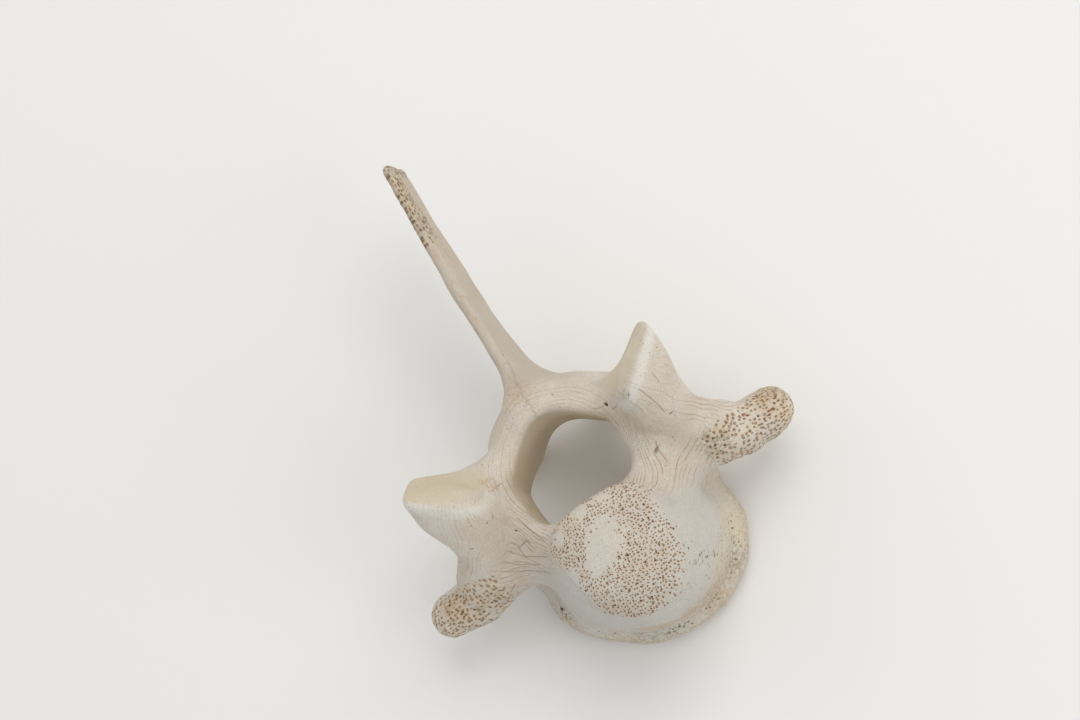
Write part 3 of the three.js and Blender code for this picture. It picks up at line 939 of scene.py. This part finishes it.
def fine_mesh():
    """The bone's mesh with all its marks, in the bone frame, the masks of its finishes, and the
    coordinates of its grain and of its fine pores."""
    low = np.array([-SPAN_HALF - 7, -21, -48])
    high = np.array([SPAN_HALF + 7, 66, SPINE_TIP_Z + 5])
    vertices, triangles = surface_mesh(low, high, CELL)
    vertices = pull_to_surface(relaxed(vertices, triangles), 2, 0.4)
    caster = Caster(vertices, triangles)
    face = HeadFace(caster)
    pores, cracks = make_marks(caster, face)
    size_at = edge_sizes(face, [
        (MARK_VOXEL, neighbourhood(pores[:, :3], MARK_VOXEL), MARK_EDGE),
        (CRACK_VOXEL, neighbourhood(cracks[:, :3], CRACK_VOXEL), CRACK_EDGE),
    ])
    for _ in range(SPLIT_PASSES):
        count = len(vertices)
        vertices, triangles = split_long_edges(vertices, triangles, size_at)
        vertices = np.concatenate([vertices[:count], pull_to_surface(vertices[count:], 1, 0.3)])
    normals = vertex_normals(vertices, triangles)
    masks = zone_masks(vertices, normals, face, smooth_patches(caster))
    pit, masks["dark"] = stamp_pores(pores, vertices)
    masks["crack"] = stamp_cracks(cracks, vertices)
    masks["yellow"] = np.maximum(0.8 * masks["facet"], stains_and_shade(vertices, caster, YELLOW_SPOTS))
    # Orange: staining, and along the body's lower band painted shade.
    masks["orange"] = stains_and_shade(vertices, caster, ORANGE_SPOTS)
    masks["green"] = np.maximum(0.85 * spine_tip_share(vertices), stains_and_shade(vertices, caster, GREEN_SPOTS))
    crack_depth = 0.16
    height = relief(vertices, masks) - pit - crack_depth * masks["crack"]
    placed = vertices + height[:, None] * normals
    return placed, triangles, masks, grain_flow(vertices), pore_cells(vertices)


def rest_turn():
    """Turn from the bone frame to the pose in which the bone lies on its tail side."""
    return np.array(Matrix.Rotation(REST_TILT - math.pi / 2, 3, "X"))


def lay_in_box(vertices):
    """Lays the bone as its solid lies, in metres, just inside the box of the solid. Also gives the
    turn, scale and shift, so that the camera can follow."""
    low, high = (np.array(corner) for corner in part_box("vertebra"))
    turned = vertices @ rest_turn().T
    spare = 0.00005
    scale = (high - low - 2 * spare) / (turned.max(0) - turned.min(0))
    shift = low + spare - scale * turned.min(0)
    return turned * scale + shift, scale, shift


# The masks of the finishes, with the canal wall's painted light and the painted shade in the orange spots,
# as the mesh
# holds them: four to a colour attribute. The last place of the last one only fills it up.
MASK_GROUPS = {
    "rough": ("head", "tip", "rim", "grain"),
    "tints": ("yellow", "orange", "cool", "canal"),
    "marks": ("dark", "crack", "facet", "pores"),
    "more_tints": ("green", "lip", "spine", "tip"),
}


def add_attribute(mesh, name, values):
    """Holds values for each vertex in the mesh: a colour where there are four, or else a vector."""
    kind, field = {4: ("FLOAT_COLOR", "color"), 3: ("FLOAT_VECTOR", "vector")}[values.shape[1]]
    attribute = mesh.attributes.new(name, kind, "POINT")
    attribute.data.foreach_set(field, values.astype(np.float32).ravel())


def place_object(name, data):
    """New object with that data, in the scene."""
    thing = bpy.data.objects.new(name, data)
    bpy.context.scene.collection.objects.link(thing)
    return thing


def make_bone():
    vertices, triangles, masks, flow, cells = fine_mesh()
    places, scale, shift = lay_in_box(vertices)
    mesh = bpy.data.meshes.new("bone")
    mesh.from_pydata(places.tolist(), [], triangles.tolist(), shade_flat=False)
    for name, members in MASK_GROUPS.items():
        add_attribute(mesh, name, np.stack([masks[m] for m in members], 1))
    add_attribute(mesh, "grain", flow)
    add_attribute(mesh, "cells", cells)
    return place_object("bone", mesh), scale, shift


def srgb(red, green, blue):
    """Linear colour, with alpha, of a colour given as it shows on screen, from 0 to 255."""
    shown = [c / 255 for c in (red, green, blue)]
    return [c / 12.92 if c <= 0.04045 else ((c + 0.055) / 1.055) ** 2.4 for c in shown] + [1.0]


class Finish:
    """A material under construction. Each call adds one node or a few and gives back the output."""

    def __init__(self, name):
        self.material = bpy.data.materials.new(name)
        self.material.use_nodes = True
        self.tree = self.material.node_tree
        self.tree.nodes.clear()

    def add(self, kind, inputs, **settings):
        """New node. An input is another node's output or a plain value."""
        node = self.tree.nodes.new(kind)
        for key, value in settings.items():
            setattr(node, key, value)
        for key, value in inputs.items():
            if isinstance(value, bpy.types.NodeSocket):
                self.tree.links.new(value, node.inputs[key])
            else:
                node.inputs[key].default_value = value
        return node

    def math(self, operation, a, b):
        return self.add("ShaderNodeMath", {0: a, 1: b}, operation=operation).outputs[0]

    def times(self, a, b):
        return self.math("MULTIPLY", a, b)

    def mix(self, share, a, b):
        """Colour a, with colour b laid over it by that share."""
        return self.add("ShaderNodeMix", {0: share, 6: a, 7: b}, data_type="RGBA").outputs[2]

    def band(self, value, start, end):
        """0 at start and beyond it, 1 at end and beyond it, smooth between them."""
        inputs = {"Value": value, "From Min": start, "From Max": end}
        node = self.add("ShaderNodeMapRange", inputs, interpolation_type="SMOOTHSTEP")
        return node.outputs["Result"]

    def attribute(self, name):
        return self.add("ShaderNodeAttribute", {}, attribute_name=name)

    def stretched(self, vector, scales):
        node = self.add("ShaderNodeVectorMath", {0: vector, 1: scales}, operation="MULTIPLY")
        return node.outputs[0]

    def noise(self, vector, scale, detail, roughness):
        inputs = {"Vector": vector, "Scale": scale, "Detail": detail, "Roughness": roughness}
        return self.add("ShaderNodeTexNoise", inputs).outputs["Fac"]

    def hairlines(self, grain, per_millimetre, half_width):
        """Thin, broken lines along the grain. The half width is a share of the gap between lines."""
        wander = self.noise(self.stretched(grain, (0.08, 0.08, 0.022)), 1.0, 1, 0.5)
        parts = self.add("ShaderNodeSeparateXYZ", {"Vector": grain})
        level = self.times(parts.outputs["X"], per_millimetre)
        level = self.math("ADD", level, self.times(wander, 6.0 * per_millimetre))
        off_line = self.math("PINGPONG", level, 0.5)
        number = self.math("ROUND", level, 0.0)
        spot = self.add("ShaderNodeCombineXYZ", {
            "X": self.times(number, 3.7),
            "Y": self.times(parts.outputs["Z"], 0.11),
        }).outputs["Vector"]
        unbroken = self.band(self.noise(spot, 1.0, 2, 0.5), 0.4, 0.52)
        return self.times(self.band(off_line, half_width, 0.25 * half_width), unbroken)

    def pores(self, vector, dimensions, randomness, share, smallest, spread):
        """Round pores, at most one in each unit cell, and the soft ring round each of them."""
        inputs = {"Vector": vector, "Scale": 1.0, "Randomness": randomness}
        cells = self.add("ShaderNodeTexVoronoi", inputs, voronoi_dimensions=dimensions, feature="F1")
        chance, girth, _ = self.add("ShaderNodeSeparateColor", {"Color": cells.outputs["Color"]}).outputs
        present = self.math("LESS_THAN", chance, share)
        reach = self.math("ADD", smallest, self.times(girth, spread))
        core = self.band(cells.outputs["Distance"], reach, self.times(reach, 0.45))
        ring = self.band(cells.outputs["Distance"], self.times(reach, 2.1), reach)
        return self.times(core, present), self.times(ring, present)

    def masks(self):
        """The masks that the mesh holds, by name."""
        found = {}
        for group, names in MASK_GROUPS.items():
            node = self.attribute(group)
            parts = self.add("ShaderNodeSeparateColor", {"Color": node.outputs["Color"]})
            for name, socket in zip(names, [*parts.outputs, node.outputs["Alpha"]]):
                found.setdefault(name, socket)
        return SimpleNamespace(**found)


def bone_textures(f, zones):
    """The noises, lines and pores that the bone's colour and its relief share."""
    place = f.stretched(f.add("ShaderNodeTexCoord", {}).outputs["Object"], (1000, 1000, 1000))
    grain = f.attribute("grain").outputs["Vector"]
    fine = SimpleNamespace()
    fine.broad = f.noise(place, 0.045, 3, 0.55)
    fine.patchy = f.noise(place, 0.16, 4, 0.6)
    fine.mottled = f.noise(place, 0.9, 4, 0.65)
    fine.gritty = f.noise(place, 2.4, 3, 0.7)
    fine.fibres = f.noise(f.stretched(grain, (2.6, 2.6, 0.16)), 1.0, 3, 0.6)
    fine.hairline = f.times(f.hairlines(grain, 0.78, 0.1), zones.grain)
    fine.thin_line = f.times(f.hairlines(grain, 1.45, 0.13), zones.grain)

    smallest = f.math("ADD", 0.15, f.times(zones.tip, 0.07))
    cells = f.attribute("cells").outputs["Vector"]
    fine.pore, fine.halo = f.pores(cells, "2D", 0.72, zones.pores, smallest, 0.17)
    off_facet = f.math("SUBTRACT", 1.0, zones.facet)
    # The orange share is staining, and along the body's lower band painted shade.
    stained_and_shaded = f.times(f.math("MAXIMUM", f.times(zones.yellow, off_facet), zones.orange), 0.9)
    rough_zone = f.math("MAXIMUM", f.times(zones.lip, 0.4), f.math("MAXIMUM", zones.rim, stained_and_shaded))
    share = f.math("ADD", 0.035, f.times(rough_zone, 0.75))
    fine.pinhole, _ = f.pores(f.stretched(place, (1.25, 1.25, 1.25)), "3D", 0.95, share, 0.14, 0.16)
    return fine


def bone_colour(f, zones, fine):
    """The bone's colour: its ground, layers of tint over that, and the pores and cracks on top."""
    worn = f.times(f.times(zones.pores, zones.head), f.band(fine.patchy, 0.35, 0.65))
    colour = f.mix(f.band(fine.broad, 0.35, 0.65), srgb(220, 213, 201), srgb(211, 200, 182))
    for zone, strength, tint in (
        (f.band(fine.patchy, 0.5, 0.75), 0.5, (225, 220, 210)),
        (zones.cool, 0.7, (196, 196, 190)),
        (zones.head, 0.45, (204, 199, 188)),
        (f.band(fine.mottled, 0.5, 0.8), 0.4, (192, 177, 156)),
        (f.band(fine.gritty, 0.5, 0.7), 0.48, (180, 164, 142)),
        (f.band(fine.gritty, 0.48, 0.3), 0.5, (232, 228, 220)),
        (zones.spine, 0.55, (190, 176, 158)),
        (f.times(f.band(fine.fibres, 0.5, 0.7), zones.grain), 0.45, (196, 175, 150)),
        (fine.thin_line, 0.32, (190, 152, 122)),
        (fine.hairline, 0.6, (190, 140, 102)),
        (zones.yellow, 0.6, (212, 194, 158)),
        (zones.lip, 0.55, (232, 229, 220)),
        # Orange: staining, and along the body's lower band painted shade.
        (f.times(zones.orange, f.band(fine.mottled, 0.35, 0.6)), 0.65, (188, 150, 104)),
        (f.times(zones.tip, f.band(fine.patchy, 0.4, 0.65)), 0.4, (216, 194, 156)),
        (f.times(zones.rim, f.band(fine.mottled, 0.4, 0.6)), 0.6, (184, 164, 132)),
        (f.times(zones.green, f.band(fine.mottled, 0.4, 0.62)), 0.65, (136, 132, 104)),
        # Canal wall tint: partly the bone's browner inside, partly painted warm light on the shaded wall.
        (zones.canal, 0.65, (222, 207, 180)),
        (worn, 0.35, (198, 176, 148)),
        (fine.halo, 0.42, (196, 160, 120)),
    ):
        colour = f.mix(f.times(zone, strength), colour, srgb(*tint))

    opacity = f.math("SUBTRACT", f.band(fine.mottled, 0.1, 0.7), f.times(zones.tip, 0.2))
    pore_tint = f.mix(zones.green, srgb(130, 88, 56), srgb(62, 60, 46))
    pinhole_tint = f.mix(zones.green, srgb(122, 94, 68), srgb(70, 68, 52))
    warm = f.times(f.math("MAXIMUM", zones.head, zones.tip), f.math("SUBTRACT", 1.0, zones.green))
    pit_edge = f.mix(warm, srgb(142, 130, 104), srgb(178, 134, 96))
    pit_floor = f.mix(warm, srgb(64, 60, 46), srgb(100, 62, 40))
    for share, tint in (
        (f.times(fine.pore, opacity), pore_tint),
        (f.times(fine.pinhole, 0.7), pinhole_tint),
        (f.band(zones.dark, 0.08, 0.45), pit_edge),
        (f.band(zones.dark, 0.45, 0.9), pit_floor),
        (f.times(zones.crack, 0.62), srgb(146, 104, 72)),
    ):
        colour = f.mix(share, colour, tint)
    return colour


def bone_relief(f, zones, fine):
    """Normal of the bone's finest relief: fibres and grit stand out, and lines and pores lie deep."""
    height = f.times(f.times(fine.fibres, zones.grain), 0.5)
    for operation, texture, strength in (
        ("ADD", fine.mottled, 0.4),
        ("ADD", fine.gritty, 0.5),
        ("SUBTRACT", fine.hairline, 0.45),
        ("SUBTRACT", fine.pore, 1.5),
        ("SUBTRACT", fine.pinhole, 0.9),
    ):
        height = f.math(operation, height, f.times(texture, strength))
    inputs = {"Strength": 0.9, "Distance": 0.0004, "Height": height}
    return f.add("ShaderNodeBump", inputs).outputs["Normal"]


def finished(f, inputs):
    """The material, with a plain surface shader that takes those inputs."""
    surface = f.add("ShaderNodeBsdfPrincipled", inputs)
    f.add("ShaderNodeOutputMaterial", {"Surface": surface.outputs["BSDF"]})
    return f.material


def bone_finish():
    f = Finish("bone")
    zones = f.masks()
    fine = bone_textures(f, zones)
    roughness = f.math("ADD", 0.68, f.times(fine.mottled, 0.22))
    return finished(f, {
        "Base Color": bone_colour(f, zones, fine),
        "Roughness": f.math("SUBTRACT", roughness, f.times(zones.facet, 0.14)),
        "Normal": bone_relief(f, zones, fine),
        "Specular IOR Level": 0.3,
    })


def floor_finish():
    return finished(Finish("floor"), {"Base Color": srgb(240, 239, 236), "Roughness": 0.9})


def make_floor():
    half = 6.0
    mesh = bpy.data.meshes.new("floor")
    corners = [(-half, -half, 0), (half, -half, 0), (half, half, 0), (-half, half, 0)]
    mesh.from_pydata(corners, [], [(0, 1, 2, 3)])
    mesh.materials.append(floor_finish())
    place_object("floor", mesh)


def make_camera(scale, shift):
    """The photo's camera, carried along with the bone into its resting pose."""
    turn = rest_turn()
    right, up, forward = (turn @ axis for axis in CAMERA_AXES)
    data = bpy.data.cameras.new("camera")
    data.sensor_fit = "HORIZONTAL"
    data.sensor_width = 36.0
    data.lens = data.sensor_width * FOCAL_LENGTH / FRAME_WIDTH
    data.clip_start = 0.05
    data.clip_end = 50.0
    pose = Matrix(np.stack([right, up, -forward], 1).tolist()).to_4x4()
    pose.translation = Vector((turn @ CAMERA_PLACE) * scale + shift)
    camera = place_object("camera", data)
    camera.matrix_world = pose
    bpy.context.scene.camera = camera


# Softboxes: place in metres, power in watts, and colour
SOFTBOX_SIZE = 0.9
SOFTBOXES = {
    "key_light": ((0.6, 0.35, 1.15), 6.0, (1.0, 0.98, 0.95)),
    "side_light": ((0.85, -0.95, 0.75), 3.8, (1.0, 0.985, 0.96)),
    "fill_light": ((-0.7, 0.8, 0.9), 1.2, (0.96, 0.98, 1.0)),
}


def light_studio():
    """Square softboxes that face the bone, and a pale sky all round."""
    for name, (place, power, colour) in SOFTBOXES.items():
        data = bpy.data.lights.new(name, "AREA")
        data.shape = "SQUARE"
        data.size = SOFTBOX_SIZE
        data.energy = power
        data.color = colour
        light = place_object(name, data)
        light.location = place
        light.rotation_euler = (-Vector(place)).to_track_quat("-Z", "Y").to_euler()
    world = bpy.data.worlds.new("studio")
    world.use_nodes = True
    background = world.node_tree.nodes["Background"]
    background.inputs["Color"].default_value = (0.97, 0.98, 1.0, 1.0)
    background.inputs["Strength"].default_value = 0.62
    bpy.context.scene.world = world


bone, bone_scale, bone_shift = make_bone()
bone.data.materials.append(bone_finish())
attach(bone, "root")
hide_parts("vertebra")
make_floor()
make_camera(bone_scale, bone_shift)
light_studio()
bpy.context.scene.view_settings.view_transform = "Standard"
